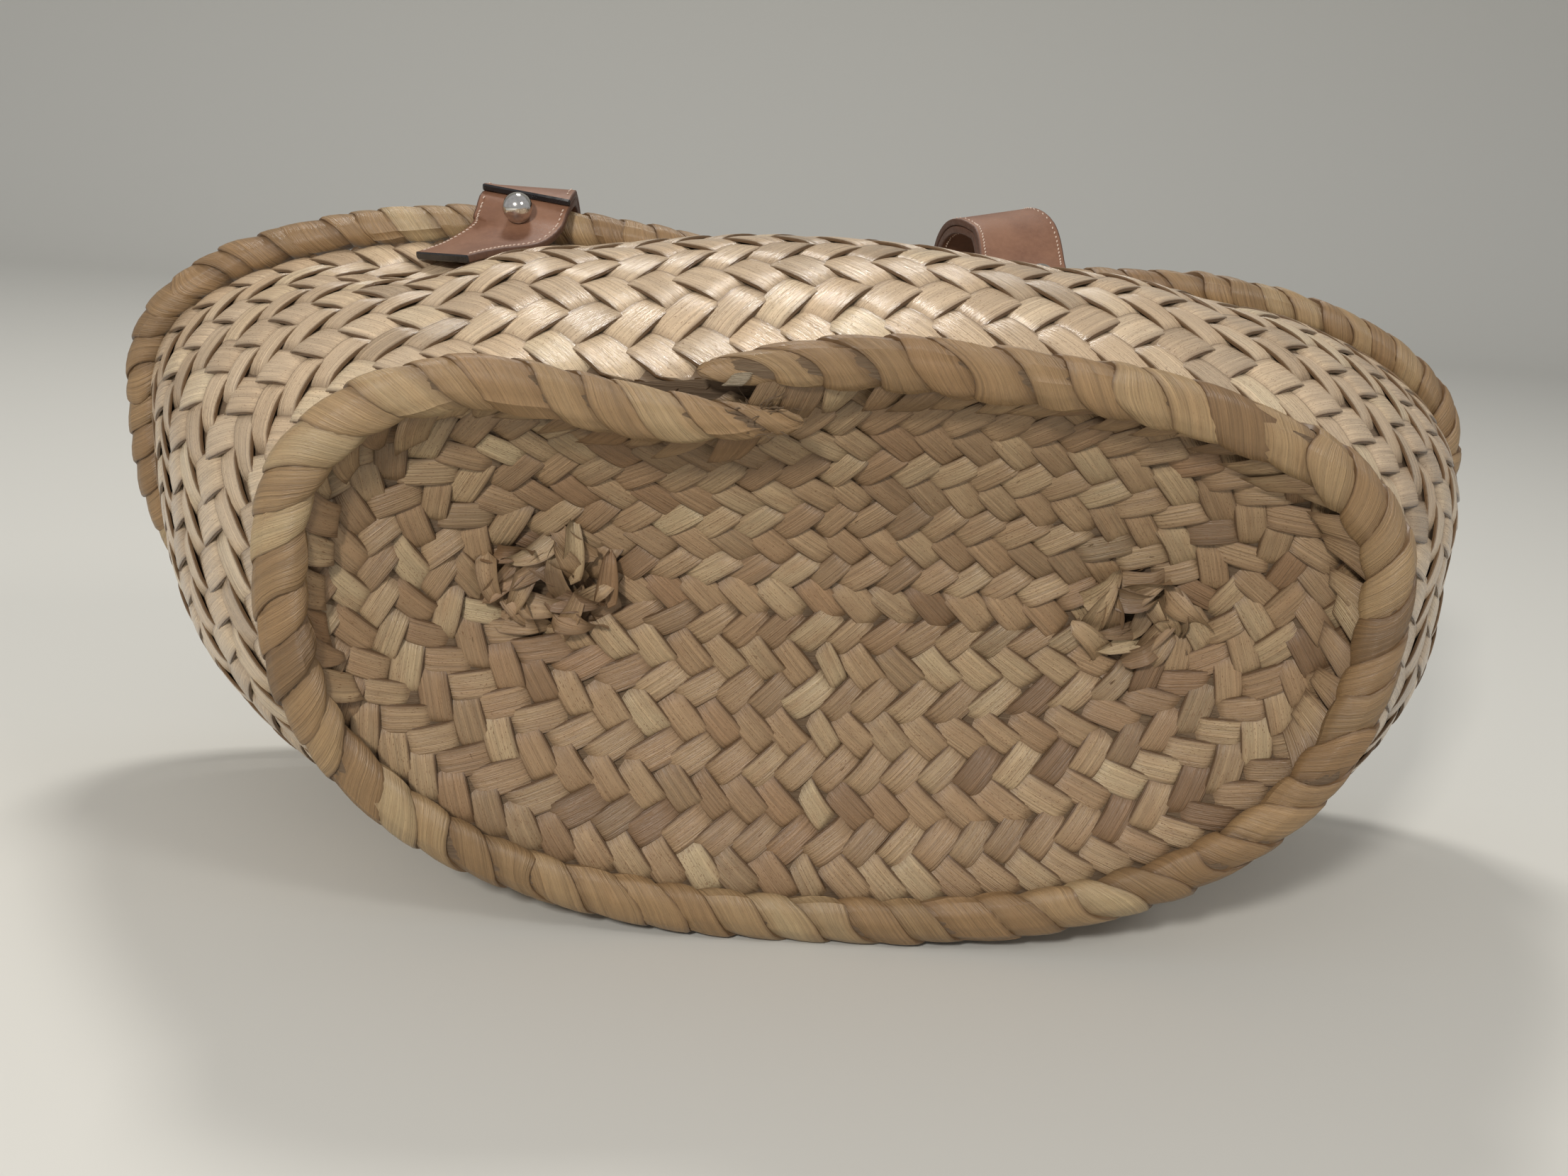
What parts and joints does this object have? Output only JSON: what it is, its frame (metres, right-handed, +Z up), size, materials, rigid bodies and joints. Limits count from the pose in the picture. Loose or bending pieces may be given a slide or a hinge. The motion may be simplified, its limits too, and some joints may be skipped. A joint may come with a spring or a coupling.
{
  "type": "straw basket bag",
  "caption": "Oval woven straw basket bag lying on its long side, with a dented base, wrapped straw coils round base and mouth, and flat stitched leather handles held by ball studs.",
  "frame": {"origin": "on the floor, midway under the lying bag's overall length and depth", "axes": "+X along the bag's width, +Y from the base to the mouth, +Z up from the floor"},
  "size_m": [0.436, 0.3106, 0.1981],
  "materials": {
    "straw": "satin plaited leaf strips",
    "coil_straw": "satin wrapped leaf strips",
    "leather": "smooth satin with painted black edges",
    "steel": "polished"
  },
  "bodies": {
    "root": {"basket_body": "straw", "base_coil": "coil_straw", "rim_coil": "coil_straw", "front_strap": "leather", "front_strap_facing": "leather", "back_strap": "leather", "back_strap_facing": "leather", "front_left_stud": "steel", "front_right_stud": "steel", "back_left_stud": "steel", "back_right_stud": "steel"}
  },
  "joints": []
}
